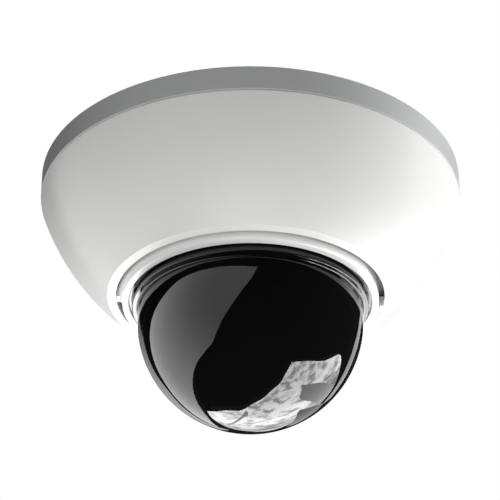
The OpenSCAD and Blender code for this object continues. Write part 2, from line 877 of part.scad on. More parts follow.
// Collar with two push lugs, a nail pocket before each lug, and two bayonet tabs on its neck
module dome_collar() {
    round_at = [collar_out_r - collar_round, -(collar_z - collar_round)];
    color("white") {
        difference() {
            rotate_extrude() {
                translate([neck_in_r, -seat_z]) square([neck_t, seat_z - neck_top_z]);
                translate([neck_in_r, round_at.y])
                    square([collar_out_r - neck_in_r, -round_at.y - skirt_z]);
                translate([collar_in_r, -collar_z]) square([round_at.x - collar_in_r, seat_t]);
                translate([neck_in_r, -collar_z]) square([round_at.x - neck_in_r, collar_z - skirt_z]);
                intersection() {
                    translate(round_at) circle(r = collar_round);
                    translate(round_at - [0, collar_round]) square(collar_round);
                }
            }
            for (turn = [0, 180])
                rotate([0, 0, turn + lug_at - lug_angle / 2])
                    translate([0, 0, -(collar_z + cut)])
                        linear_extrude(height = collar_z + cut - skirt_z + cut) nail_pocket();
        }
        for (turn = [lug_at, lug_at + 180]) {
            tube_sector(lug_out_r, neck_out_r - neck_t / 2, turn - lug_angle / 2 - lug_step,
                        turn + lug_angle / 2, lug_top_z, lug_z);
            rotate([0, 0, 90]) tube_sector(neck_out_r + tab_reach, neck_out_r - neck_t / 2,
                turn - tab_angle / 2, turn + tab_angle / 2, neck_top_z, tab_z);
        }
    }
}

// Bubble: flange, root ring, straight skirt and a round end
module smoked_bubble() {
    in_r = bubble_r - bubble_t;
    color("black", 0.9) rotate_extrude($fn = 200) {
        difference() {
            translate([0, -pivot_z]) circle(r = bubble_r);
            translate([0, -pivot_z]) circle(r = in_r);
            translate([0, -pivot_z]) square(bubble_d);
            translate([-bubble_d, -pivot_z - bubble_d]) square([bubble_d, 2 * bubble_d]);
        }
        translate([in_r, -pivot_z]) square([bubble_t, pivot_z - flange_z]);
        translate([in_r, -seat_z]) square([flange_r - in_r, flange_t]);
        translate([in_r, -seat_z - root_h]) square([root_r - in_r, root_h + flange_t / 2]);
    }
}

module bubble_gasket() {
    color("black") tube(flange_r, bubble_r, gasket_z, flange_z);
}

module bubble_clamp() {
    color("dimgray") tube(neck_in_r, bubble_r, clamp_z, gasket_z);
}

mount_base();
cover_seal();
cable_grommet();
pan_keeper();
keeper_screws();
pan_lock_screw();
main_board();
board_standoffs();
board_screws();
power_terminal();
video_socket();
image_processor();
heat_sink();
capacitors();
cover_clips();
clip_screws();
pan_turntable();
inner_liner();
liner_screws();
tilt_cradle();
tilt_pins();
camera_core();
core_clip();
sensor_holder();
sensor_board();
image_sensor();
ir_filter();
sensor_screws();
lens_barrel();
front_lens();
rear_lens();
zoom_ring();
zoom_lever();
focus_ring();
focus_lever();
cover_bowl();
dust_seal();
dome_collar();
smoked_bubble();
bubble_gasket();
bubble_clamp();
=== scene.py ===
"""Ceiling dome camera: visible shells, finishes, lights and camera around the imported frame."""

import math
import random

import bmesh
import bpy
from bpy.props import FloatProperty, FloatVectorProperty, PointerProperty
from mathutils import Matrix, Vector


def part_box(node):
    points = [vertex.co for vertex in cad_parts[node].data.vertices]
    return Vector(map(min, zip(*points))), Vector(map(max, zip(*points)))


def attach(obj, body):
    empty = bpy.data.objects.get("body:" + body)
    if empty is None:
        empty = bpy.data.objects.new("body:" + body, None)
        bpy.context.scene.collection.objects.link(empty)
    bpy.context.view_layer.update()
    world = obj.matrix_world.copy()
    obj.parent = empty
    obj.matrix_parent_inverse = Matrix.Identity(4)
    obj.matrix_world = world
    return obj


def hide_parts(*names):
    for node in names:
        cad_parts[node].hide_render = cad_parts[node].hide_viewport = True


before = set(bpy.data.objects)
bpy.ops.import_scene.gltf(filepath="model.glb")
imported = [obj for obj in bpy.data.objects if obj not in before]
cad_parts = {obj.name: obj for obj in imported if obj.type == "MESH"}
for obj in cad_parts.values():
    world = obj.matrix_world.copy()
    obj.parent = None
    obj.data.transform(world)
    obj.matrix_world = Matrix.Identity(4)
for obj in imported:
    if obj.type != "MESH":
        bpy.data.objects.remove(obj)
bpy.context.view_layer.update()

bl_info = {
    "name": "Ceiling dome camera",
    "version": (1, 0, 0),
    "blender": (4, 5, 0),
    "location": "3D View > Sidebar > Dome camera",
    "description": "Builds the shells, finishes, lights and camera of a ceiling dome camera",
    "category": "Object",
}

BASE_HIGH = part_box("mount_base")[1]
BOWL_LOW, BOWL_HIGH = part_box("cover_bowl")
COLLAR_LOW, COLLAR_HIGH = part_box("dome_collar")
BUBBLE_LOW, BUBBLE_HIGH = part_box("smoked_bubble")
BOARD_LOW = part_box("main_board")[0]
MM = 0.001

# Sizes of the base that follow the CAD nodes inside it. Heights are negative below the ceiling.
SPIGOT_RADIUS = 70.36 * MM
SPIGOT_WALL = 2.0 * MM
IN_PLATE = -1.0 * MM
HUB_INSIDE, HUB_OUTSIDE, HUB_LOW = 28.5 * MM, 31.0 * MM, -12.0 * MM
PAD_RADIUS, PAD_LOW = 5.0 * MM, -4.5 * MM
FIXING_HOLE_RADIUS = 2.3 * MM
KEEPER_CIRCLE, KEEPER_AT = 33.8 * MM, 45.0
KEEPER_BOSS_RADIUS, KEEPER_BOSS_LOW = 3.4 * MM, -14.0 * MM
BOARD_CIRCLE, BOARD_AT = 60.4 * MM, 28.0
CLIP_CIRCLE, CLIP_AT = 62.8 * MM, 15.0
SCREW_HOLE_RADIUS = 1.5 * MM
CABLE_HOLE_RADIUS = 10.0 * MM

# Catches of the bowl for the spring clips
CATCH_INSIDE, CATCH_OUTSIDE = 68.12 * MM, 70.5 * MM
CATCH_LOW, CATCH_HIGH = -16.3 * MM, -14.3 * MM
CATCH_TURNS = (15.0, 135.0, 255.0)
CATCH_HALF = 6.0

# Lugs, nail pockets and bayonet tabs of the collar
LUG_INSIDE, LUG_OUTSIDE, LUG_STEP = 44.1 * MM, 46.74 * MM, 0.4
POCKET_RADIUS, POCKET_ANGLE = 44.8 * MM, 36.0
TAB_OUTSIDE, TAB_LOW, TAB_HIGH = 46.5 * MM, -41.4 * MM, -39.4 * MM
TAB_TURN, TAB_HALF = 90.0, 14.0

# Small parts of the main board. TAKEN lists (angle, half width) in degrees that larger parts need.
CHIP_STEP = 3
CHIP_ROWS, CHIP_CIRCLE, CHIP_ROW_GAP = 3, 43.0, 7.0
BIG_CHIP, SMALL_CHIP, BIG_ABOVE = (3.2, 3.2, 1.1), (0.8, 1.6, 0.5), 0.82
TAKEN = [
    (-40.0, 13.0), (62.0, 15.0), (232.0, 15.0), (159.0, 19.0), (28.0, 6.0), (118.0, 6.0),
    (208.0, 6.0), (298.0, 6.0), (15.0, 9.0), (135.0, 9.0), (255.0, 9.0), (0.0, 10.0),
    (90.0, 10.0), (180.0, 10.0), (270.0, 10.0), (45.0, 7.0), (165.0, 7.0), (285.0, 7.0),
]


# ---- Sizes and colours a user would change ----


def length(name, text, value):
    """A size property in metres."""
    return FloatProperty(
        name=name, description=text, default=value, min=0.0, unit="LENGTH", precision=4
    )


def number(name, text, value, **limits):
    """A plain number or an angle in degrees."""
    return FloatProperty(name=name, description=text, default=value, **limits)


def colour(name, text, value):
    """A colour property."""
    return FloatVectorProperty(
        name=name, description=text, default=value, min=0.0, max=1.0, size=3, subtype="COLOR"
    )


class HousingSizes(bpy.types.PropertyGroup):
    """Sizes of the base and the bowl"""

    rim_radius: length("Rim radius", "Radius of the rim at the ceiling", BASE_HIGH.x)
    band_depth: length("Band depth", "Depth of the grey band", -BOWL_HIGH.z)
    opening_depth: length("Opening depth", "Depth of the bowl's opening", -BOWL_LOW.z)
    curve_radius: length("Bowl curve", "Radius of the curve of the bowl's side", 88.4 * MM)
    wall: length("Bowl wall", "Wall of the bowl", 2.4 * MM)
    lip_radius: length("Lip radius", "Outer radius of the bevel at the opening", 50.1 * MM)
    opening_radius: length("Opening radius", "Radius of the bowl's opening", 46.84 * MM)
    bevel_fall: length("Bevel fall", "Fall of the bevel at the opening", 0.5 * MM)
    ledge_radius: length("Ledge radius", "Inner radius of the ledge in the bowl", 45.0 * MM)
    ledge_depth: length("Ledge depth", "Depth of the ledge's lower face", 43.7 * MM)
    edge_round: length("Edge rounding", "Rounding of the edges at the parting line", 0.45 * MM)
    plate: length("Plate", "Thickness of the ceiling plate", 3.0 * MM)
    spigot_depth: length("Spigot depth", "Depth of the spigot's end", 13.8 * MM)
    fixing_radius: length("Fixing radius", "Radius of the ceiling screw circle", 41.65 * MM)


class DomeSizes(bpy.types.PropertyGroup):
    """Sizes of the collar and the bubble"""

    bubble_radius: length("Bubble radius", "Outer radius of the bubble", 39.3 * MM)
    bubble_wall: length("Bubble wall", "Wall of the bubble", 2.0 * MM)
    root_width: length("Root width", "How far the root ring stands out from the skirt", 2.1 * MM)
    root_height: length("Root height", "Depth of the root ring below its seat", 3.2 * MM)
    flange_radius: length("Flange radius", "Radius of the bubble's flange", BUBBLE_HIGH.x)
    flange_depth: length("Flange depth", "Depth of the flange's upper face", -BUBBLE_HIGH.z)
    seat_depth: length("Seat depth", "Depth of the flange's seat on the collar", 48.0 * MM)
    bubble_depth: length("Bubble depth", "Depth of the bubble's lowest point", -BUBBLE_LOW.z)
    collar_radius: length("Collar radius", "Outer radius of the collar", 46.3 * MM)
    collar_inside: length("Collar inside", "Inner radius of the collar's face", 42.4 * MM)
    collar_depth: length("Collar depth", "Depth of the collar's face", -COLLAR_LOW.z)
    collar_round: length("Collar rounding", "Rounding of the collar's outer edge", 2.0 * MM)
    neck_inside: length("Neck inside", "Inner radius of the collar's neck", 43.5 * MM)
    neck_radius: length("Neck radius", "Outer radius of the collar's neck", 44.7 * MM)
    neck_depth: length("Neck depth", "Depth of the neck's upper edge", -COLLAR_HIGH.z)
    skirt_depth: length("Skirt depth", "Depth of the upper face of the collar's skirt", 44.5 * MM)
    lug_at: number("Lug angle", "Angle of the first lug, in degrees", 4.5)
    lug_short: length("Lug shortfall", "How far a lug stops above the collar's face", 0.5 * MM)
    lug_width: number("Lug width", "Angle a lug takes up, in degrees", 5.0)


class FinishColours(bpy.types.PropertyGroup):
    """Colours of the visible parts"""

    rim: colour("Rim", "Paint of the cast base", (0.57, 0.575, 0.58))
    cover: colour("Cover", "Plastic of the bowl", (0.80, 0.80, 0.79))
    collar: colour("Collar", "Plastic of the collar", (0.80, 0.80, 0.79))
    bubble: colour("Bubble", "Tint of the smoked bubble", (0.004, 0.004, 0.0045))
    board: colour("Board", "Solder mask of the boards", (0.012, 0.11, 0.045))


class StudioSettings(bpy.types.PropertyGroup):
    """Camera and lights"""

    distance: length("Distance", "Distance of the camera's level from the axis", 0.635)
    drop: length("Drop", "How far the camera is below the ceiling", 0.3991)
    tilt: number("Tilt", "How far the camera looks up, in degrees", 30.4)
    lens: number("Lens", "Focal length in millimetres", 149.4, min=20.0)
    floor_drop: length("Floor", "How far the floor is below the ceiling", 2.4)
    fill: number("Fill", "Strength of the even fill light", 0.02, min=0.0)


class DomeCameraSettings(bpy.types.PropertyGroup):
    """All settings of the dome camera"""

    housing: PointerProperty(type=HousingSizes)
    dome: PointerProperty(type=DomeSizes)
    colours: PointerProperty(type=FinishColours)
    studio: PointerProperty(type=StudioSettings)


# ---- Node trees ----


class Wire:
    """A socket of a node tree. Arithmetic on it adds Math nodes."""

    def __init__(self, tree, socket):
        self.tree = tree
        self.socket = socket

    def _math(self, operation, first, second=0.0):
        return self.tree.node("ShaderNodeMath", {"operation": operation}, {0: first, 1: second})

    def __add__(self, other):
        return self._math("ADD", self, other)

    def __radd__(self, other):
        return self._math("ADD", other, self)

    def __sub__(self, other):
        return self._math("SUBTRACT", self, other)

    def __rsub__(self, other):
        return self._math("SUBTRACT", other, self)

    def __mul__(self, other):
        return self._math("MULTIPLY", self, other)

    def __truediv__(self, other):
        return self._math("DIVIDE", self, other)

    def __pow__(self, other):
        return self._math("POWER", self, other)

    def __lt__(self, other):
        return self._math("LESS_THAN", self, other)

    def wave(self):
        """Sine of the value."""
        return self._math("SINE", self)

    def largest(self, other):
        """The larger of two values."""
        return self._math("MAXIMUM", self, other)

    def step(self, low, high):
        """0 below low, 1 above high, and smooth between."""
        return self.tree.node(
            "ShaderNodeMapRange",
            {"interpolation_type": "SMOOTHSTEP"},
            {"Value": self, "From Min": low, "From Max": high},
        )


class Nodes:
    """A node tree under construction."""

    def __init__(self, owner):
        owner.use_nodes = True
        self.tree = owner.node_tree
        self.tree.nodes.clear()

    def node(self, kind, settings=None, sockets=None, out=0):
        """Adds a node, sets it up, fills its sockets and gives one of its outputs."""
        made = self.tree.nodes.new(kind)
        for key, value in (settings or {}).items():
            setattr(made, key, value)
        for key, value in (sockets or {}).items():
            socket = made.inputs[key]
            if isinstance(value, Wire):
                self.tree.links.new(value.socket, socket)
            elif isinstance(value, tuple) and len(value) == 3 and socket.type == "RGBA":
                socket.default_value = (*value, 1.0)
            else:
                socket.default_value = value
        return Wire(self, made.outputs[out]) if len(made.outputs) else None

    def mix(self, factor, first, second):
        """Mixes two colours."""
        return self.node(
            "ShaderNodeMix", {"data_type": "RGBA"}, {0: factor, 6: first, 7: second}, out=2
        )

    def place(self):
        """Coordinates that move with the piece, in metres."""
        return self.node("ShaderNodeTexCoord", out="Object")

    def parts(self, vector):
        """The three parts of a vector."""
        split = self.node("ShaderNodeSeparateXYZ", {}, {0: vector}).socket.node
        return [Wire(self, socket) for socket in split.outputs]

    def noise(self, place, scale, detail=3.0, roughness=0.55):
        """Noise from 0 to 1, with scale in lumps a metre."""
        return self.node(
            "ShaderNodeTexNoise",
            {},
            {"Vector": place, "Scale": scale, "Detail": detail, "Roughness": roughness},
        )

    def bump(self, height, depth, strength=1.0):
        """A normal that is raised by height times depth in metres."""
        return self.node(
            "ShaderNodeBump", {}, {"Strength": strength, "Distance": depth, "Height": height}
        )

    def rings(self, place, scale):
        """Distance from the vertical axis, broken up into fine turned rings."""
        x, y, z = self.parts(place)
        reach = (x * x + y * y) ** 0.5
        spot = self.node("ShaderNodeCombineXYZ", {}, {0: reach, 1: z, 2: 0.0})
        return self.noise(spot, scale, 4.0, 0.7)


def finish(name, build, uniform):
    """A Principled material: build(nodes) gives what varies, uniform what doesn't."""
    material = bpy.data.materials.new(name)
    nodes = Nodes(material)
    sockets = dict(uniform)
    sockets.update(build(nodes))
    shader = nodes.node("ShaderNodeBsdfPrincipled", {}, sockets)
    nodes.node("ShaderNodeOutputMaterial", {}, {"Surface": shader})
    return material


def tone(shade, factor):
    """A colour made lighter or darker."""
    return tuple(min(1.0, channel * factor) for channel in shade)


def moulded(name, shade, roughness, grain=2600.0, depth=0.012, drift=0.04, **uniform):
    """Moulded or painted surface: slow drift of tone, fine grain and specks."""

    def build(nodes):
        place = nodes.place()
        slow = nodes.noise(place, 22.0, 2.0)
        fine = nodes.noise(place, grain, 4.0, 0.6)
        speck = nodes.noise(place, grain * 0.3, 2.0).step(0.70, 0.80)
        base = nodes.mix(slow, tone(shade, 1.0 - drift), tone(shade, 1.0 + drift))
        base = nodes.mix(speck * 0.25, base, tone(shade, 0.82))
        return {
            "Base Color": base,
            "Roughness": (slow - 0.5) * 0.06 + (fine - 0.5) * 0.08 + roughness,
            "Normal": nodes.bump(fine, depth * MM),
        }

    return finish(name, build, uniform)


def turned(name, shade, roughness, scale=5200.0, stain=(0.35, 0.33, 0.30)):
    """Turned, rolled or plated metal: fine rings, stains and small scratches."""

    def build(nodes):
        place = nodes.place()
        ring = nodes.rings(place, scale)
        slow = nodes.noise(place, 160.0, 5.0, 0.65)
        scratch = nodes.noise(place, 900.0, 1.0).step(0.62, 0.66)
        base = nodes.mix(ring * 0.5 + slow * 0.4, tone(shade, 0.84), tone(shade, 1.1))
        base = nodes.mix(slow.step(0.60, 0.78) * 0.35, base, stain)
        return {
            "Base Color": base,
            "Roughness": ring * 0.18 + scratch * 0.08 + (roughness - 0.08),
            "Normal": nodes.bump(ring + scratch * 0.3, 0.01 * MM, 0.6),
        }

    return finish(name, build, {"Metallic": 1.0})


def smoked(name, shade):
    """Smoked polycarbonate: near black, glossy, with faint waves and wiping marks."""

    def build(nodes):
        place = nodes.place()
        wave = nodes.noise(place, 34.0, 1.0)
        wipe = nodes.noise(place, 210.0, 4.0, 0.7)
        dust = nodes.noise(place, 2600.0, 2.0).step(0.74, 0.80)
        return {
            "Base Color": nodes.mix(dust * 0.5, shade, tone(shade, 2.2)),
            "Roughness": wipe * 0.018 + dust * 0.05 + 0.012,
            "Normal": nodes.bump(wave, 0.02 * MM, 0.5),
        }

    return finish(name, build, {"IOR": 1.56, "Alpha": 0.93})


def board_mask(name, shade):
    """Circuit board: solder mask over copper tracks, with vias and pale pads, and each via's hole
    painted near black as painted shade.
    """

    def build(nodes):
        place = nodes.place()
        lane = nodes.node(
            "ShaderNodeTexBrick",
            {"offset": 0.5, "squash": 0.7},
            {"Vector": place, "Scale": 330.0, "Mortar Size": 0.012, "Mortar Smooth": 0.4,
             "Color1": (0.0, 0.0, 0.0), "Color2": (0.15, 0.15, 0.15), "Mortar": (1.0, 1.0, 1.0)},
        )
        cell = nodes.node(
            "ShaderNodeTexVoronoi",
            {"feature": "F1"},
            {"Vector": place, "Scale": 420.0},
            out="Distance",
        )
        via = 1.0 - cell.step(0.16, 0.20)
        # The near black in each via's hole is painted shade for a hollow that the mesh doesn't
        # have.
        via_hole_shade = 1.0 - cell.step(0.07, 0.09)
        weave = nodes.noise(place, 3000.0, 2.0)
        base = nodes.mix(weave * 0.5, tone(shade, 0.8), shade)
        base = nodes.mix(lane, base, tone(shade, 2.1))
        base = nodes.mix(via, base, (0.62, 0.50, 0.26))
        base = nodes.mix(via_hole_shade, base, (0.01, 0.01, 0.01))
        return {
            "Base Color": base,
            "Roughness": weave * 0.12 + 0.28,
            "Normal": nodes.bump(via * 0.6 - via_hole_shade, 0.04 * MM, 0.7),
        }

    return finish(name, build, {"Coat Weight": 0.3})


def sleeve(name, shade):
    """Capacitor: shrunk sleeve with a pale stripe, and a metal top."""

    def build(nodes):
        place = nodes.place()
        x = nodes.parts(place)[0]
        normal = nodes.parts(nodes.node("ShaderNodeNewGeometry", out="Normal"))
        top = normal[2] < -0.9
        stripe = (x * 2200.0).wave().step(0.86, 0.90)
        grain = nodes.noise(place, 2400.0, 3.0)
        base = nodes.mix(stripe * 0.7, shade, (0.70, 0.72, 0.74))
        base = nodes.mix(top, base, (0.62, 0.62, 0.63))
        return {
            "Base Color": base,
            "Metallic": top,
            "Roughness": grain * 0.12 + 0.24,
            "Normal": nodes.bump(grain, 0.01 * MM),
        }

    return finish(name, build, {})


def coated_glass(name, tint, edge, alpha):
    """Lens or filter glass with a thin coating that shifts in colour towards its edge."""

    def build(nodes):
        place = nodes.place()
        facing = nodes.node("ShaderNodeLayerWeight", {}, {"Blend": 0.35}, out="Facing")
        haze = nodes.noise(place, 300.0, 3.0)
        return {
            "Base Color": nodes.mix(facing, tint, edge),
            "Roughness": haze * 0.03 + 0.01,
            "Coat Weight": haze * 0.2 + 0.8,
        }

    return finish(name, build, {"IOR": 1.7, "Alpha": alpha})


# ---- Meshes. Outlines are (radius, height) in metres, heights negative below the ceiling. ----


def arc(centre, radius, start, end, steps):
    """Points on an arc, angles in radians."""
    turns = [start + (end - start) * i / steps for i in range(steps + 1)]
    return [(centre[0] + radius * math.cos(t), centre[1] + radius * math.sin(t)) for t in turns]


def rounded(corners, steps=6):
    """Closed outline from (radius, height, rounding) corners."""
    outline = []
    for i, (r, z, rounding) in enumerate(corners):
        here = Vector((r, z))
        if rounding == 0.0:
            outline.append((r, z))
            continue
        back = Vector(corners[i - 1][:2]) - here
        ahead = Vector(corners[(i + 1) % len(corners)][:2]) - here
        half = back.angle(ahead) / 2.0
        reach = min(rounding / math.tan(half), 0.48 * back.length, 0.48 * ahead.length)
        u, v = back.normalized(), ahead.normalized()
        centre = here + (u + v).normalized() * reach / math.cos(half)
        radius = reach * math.tan(half)
        first, last = here + u * reach - centre, here + v * reach - centre
        start = math.atan2(first.y, first.x)
        turn = math.remainder(math.atan2(last.y, last.x) - start, 2.0 * math.pi)
        outline += arc(centre, radius, start, start + turn, steps)
    return outline


def lathe(mesh, outline, turns, radius_at=None):
    """Turns a closed outline about the vertical axis. radius_at(turn, radius) may narrow it."""
    poles = {i: mesh.verts.new((0.0, 0.0, z)) for i, (r, z) in enumerate(outline) if r < 1e-7}
    rings = []
    for turn in turns:
        ring = []
        for i, (r, z) in enumerate(outline):
            if i in poles:
                ring.append(poles[i])
                continue
            reach = radius_at(turn, r) if radius_at else r
            ring.append(mesh.verts.new((reach * math.cos(turn), reach * math.sin(turn), z)))
        rings.append(ring)
    for here, after in zip(rings, rings[1:] + rings[:1]):
        for i in range(len(outline)):
            j = (i + 1) % len(outline)
            corners = []
            for vertex in (here[i], here[j], after[j], after[i]):
                if vertex not in corners:
                    corners.append(vertex)
            if len(corners) > 2:
                mesh.faces.new(corners)


def even(count):
    """Evenly spaced turns."""
    return [2.0 * math.pi * i / count for i in range(count)]


def sector(mesh, inner, outer, low, high, start, end, edge, steps=10):
    """Adds a rounded block of a ring between two heights and two angles in degrees."""
    rows = []
    for i in range(steps + 1):
        turn = math.radians(start + (end - start) * i / steps)
        spot = Vector((math.cos(turn), math.sin(turn), 0.0))
        rows.append([mesh.verts.new(spot * r + Vector((0.0, 0.0, z)))
                     for r, z in ((inner, low), (outer, low), (outer, high), (inner, high))])
    faces = [mesh.faces.new(rows[0]), mesh.faces.new(rows[-1])]
    for here, after in zip(rows, rows[1:]):
        for i in range(4):
            faces.append(mesh.faces.new((here[i], here[(i + 1) % 4], after[(i + 1) % 4], after[i])))
    bmesh.ops.recalc_face_normals(mesh, faces=faces)
    sharp = {e for f in faces for e in f.edges if e.calc_face_angle(0.0) > math.radians(40.0)}
    bmesh.ops.bevel(mesh, geom=list(sharp), offset=edge, segments=3, affect="EDGES", profile=0.5)


def post(mesh, radius, low, high, x, y, sides=32):
    """Adds an upright cylinder with closed ends."""
    made = bmesh.ops.create_cone(
        mesh, cap_ends=True, segments=sides, radius1=radius, radius2=radius, depth=high - low,
        matrix=Matrix.Translation((x, y, (low + high) / 2.0)),
    )
    return made["verts"]


def block(mesh, size, centre, turn=0.0, edge=0.0):
    """Adds a box, turned about its own upright axis, with its edges softened."""
    place = Matrix.Translation(centre) @ Matrix.Rotation(turn, 4, "Z")
    place = place @ Matrix.Diagonal((*size, 1.0))
    made = bmesh.ops.create_cube(mesh, size=1.0, matrix=place)
    if edge:
        edges = {e for v in made["verts"] for e in v.link_edges}
        bmesh.ops.bevel(
            mesh, geom=list(edges), offset=edge, segments=2, affect="EDGES", profile=0.5
        )


def around(count, radius, first=0.0):
    """Points spaced evenly on a circle; first is an angle in degrees."""
    for i in range(count):
        turn = math.radians(first + 360.0 * i / count)
        yield radius * math.cos(turn), radius * math.sin(turn)


def new_object(name, mesh):
    """An object made from a bmesh, which is then freed."""
    bmesh.ops.recalc_face_normals(mesh, faces=mesh.faces)
    data = bpy.data.meshes.new(name)
    mesh.to_mesh(data)
    mesh.free()
    made = bpy.data.objects.new(name, data)
    bpy.context.scene.collection.objects.link(made)
    return made


def combine(target, other, operation):
    """Applies a boolean of target with other, and removes other."""
    change = target.modifiers.new(operation.lower(), "BOOLEAN")
    change.operation = operation
    change.solver = "EXACT"
    change.use_self = operation == "UNION"
    change.object = other
    bpy.context.view_layer.update()
    graph = bpy.context.evaluated_depsgraph_get()
    done = bpy.data.meshes.new_from_object(target.evaluated_get(graph))
    target.modifiers.clear()
    target.data = done
    bpy.data.objects.remove(other)


def piece(made, material, body, slot, *nodes):
    """Gives a new object its shading, finish and body, and hides the CAD nodes it stands for. The
    slot is not used.
    """
    made.data.materials.clear()
    made.data.materials.append(material)
    made.data.shade_smooth()
    made.data.set_sharp_from_angle(angle=math.radians(35.0))
    weighted = made.modifiers.new("weighted normals", "WEIGHTED_NORMAL")
    weighted.keep_sharp = True
    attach(made, body)
    if nodes:
        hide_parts(*nodes)
    return made


def dress(material, *names):
    """Gives carried-over CAD nodes a finish."""
    for name in names:
        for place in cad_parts[name].material_slots:
            place.material = material


def settings():
    """The settings of the scene."""
    return bpy.context.scene.dome_camera


# ---- Operators ----


class DOME_OT_base(bpy.types.Operator):
    """Build the cast base with its rim, hub and screw bosses"""

    bl_idname = "dome.base"
    bl_label = "Base"

    def execute(self, context):
        size = settings().housing
        hub_round = 0.4 * MM
        corners = [
            (0.0, 0.0, 0.0),
            (size.rim_radius, 0.0, 0.5 * MM),
            (size.rim_radius, -size.band_depth, size.edge_round),
            (SPIGOT_RADIUS, -size.band_depth, 0.0),
            (SPIGOT_RADIUS, -size.spigot_depth, 0.4 * MM),
            (SPIGOT_RADIUS - SPIGOT_WALL, -size.spigot_depth, 0.4 * MM),
            (SPIGOT_RADIUS - SPIGOT_WALL, -size.plate, 0.8 * MM),
            (0.0, -size.plate, 0.0),
        ]
        mesh = bmesh.new()
        lathe(mesh, rounded(corners), even(288))
        base = new_object("cast_base", mesh)

        mesh = bmesh.new()
        hub = [(HUB_INSIDE, IN_PLATE, 0.0), (HUB_OUTSIDE, IN_PLATE, 0.0),
               (HUB_OUTSIDE, HUB_LOW, hub_round), (HUB_INSIDE, HUB_LOW, hub_round)]
        lathe(mesh, rounded(hub), even(144))
        for x, y in around(4, size.fixing_radius):
            post(mesh, PAD_RADIUS, PAD_LOW, IN_PLATE, x, y, 48)
        for x, y in around(3, KEEPER_CIRCLE, KEEPER_AT):
            post(mesh, KEEPER_BOSS_RADIUS, KEEPER_BOSS_LOW, IN_PLATE, x, y, 40)
        combine(base, new_object("base_bosses", mesh), "UNION")

        mesh = bmesh.new()
        for x, y in around(4, size.fixing_radius):
            post(mesh, FIXING_HOLE_RADIUS, -6.0 * MM, 1.0 * MM, x, y)
        for x, y in around(3, KEEPER_CIRCLE, KEEPER_AT):
            post(mesh, SCREW_HOLE_RADIUS, -15.0 * MM, -2.5 * MM, x, y)
        for x, y in [*around(4, BOARD_CIRCLE, BOARD_AT), *around(3, CLIP_CIRCLE, CLIP_AT)]:
            post(mesh, SCREW_HOLE_RADIUS, -4.0 * MM, IN_PLATE, x, y)
        post(mesh, CABLE_HOLE_RADIUS, -4.0 * MM, 1.0 * MM, 0.0, 0.0, 64)
        combine(base, new_object("base_holes", mesh), "DIFFERENCE")
        paint = moulded("rim_paint", tuple(settings().colours.rim), 0.34, 1500.0, 0.02, 0.03)
        piece(base, paint, "base", "rim_grey", "mount_base")
        return {"FINISHED"}


class DOME_OT_bowl(bpy.types.Operator):
    """Build the white bowl with its bevelled opening and catches"""

    bl_idname = "dome.bowl"
    bl_label = "Bowl"

    def execute(self, context):
        size = settings().housing
        top = Vector((size.rim_radius, -size.band_depth))
        low = Vector((size.lip_radius, -size.opening_depth + size.bevel_fall))
        chord = low - top
        middle = (top + low) / 2.0
        side = Vector((chord.y, -chord.x)).normalized()
        centre = middle + side * math.sqrt(size.curve_radius**2 - chord.length_squared / 4.0)
        inside = size.curve_radius - size.wall

        def turn_at(radius, height):
            """Angle at which a curve about the centre is at a height."""
            return math.asin((height - centre.y) / radius)

        ledge_top = -size.ledge_depth + 2.0 * MM
        steps = 40
        outer = arc(centre, size.curve_radius, turn_at(size.curve_radius, top.y),
                    turn_at(size.curve_radius, low.y), steps)
        inner = arc(centre, inside, turn_at(inside, ledge_top), turn_at(inside, top.y), 36)
        corners = [(*point, 0.0) for point in outer + inner]
        corners[0] = (*outer[0], size.edge_round)
        corners[steps] = (*outer[-1], 0.35 * MM)
        corners[-1] = (*inner[-1], 0.3 * MM)
        corners[steps + 1:steps + 1] = [
            (size.opening_radius, -size.opening_depth, 0.3 * MM),
            (size.opening_radius, -size.ledge_depth, 0.0),
            (size.ledge_radius, -size.ledge_depth, 0.15 * MM),
            (size.ledge_radius, ledge_top, 0.15 * MM),
        ]
        mesh = bmesh.new()
        lathe(mesh, rounded(corners), even(320))
        for turn in CATCH_TURNS:
            sector(mesh, CATCH_INSIDE, CATCH_OUTSIDE, CATCH_LOW, CATCH_HIGH,
                   turn - CATCH_HALF, turn + CATCH_HALF, 0.3 * MM)
        bowl = new_object("bowl", mesh)
        shade = tuple(settings().colours.cover)
        plastic = moulded("bowl_plastic", shade, 0.36, 1900.0, 0.008, 0.015)
        piece(bowl, plastic, "cover", "cover_white", "cover_bowl")
        # Black rubber dust seal on the ledge. Its black is also painted shade, standing in for the
        # dark seen through the nail pockets.
        rubber = moulded("seal_painted_shade", (0.018, 0.018, 0.019), 0.6, 2200.0, 0.03, 0.15)
        dress(rubber, "dust_seal")
        return {"FINISHED"}


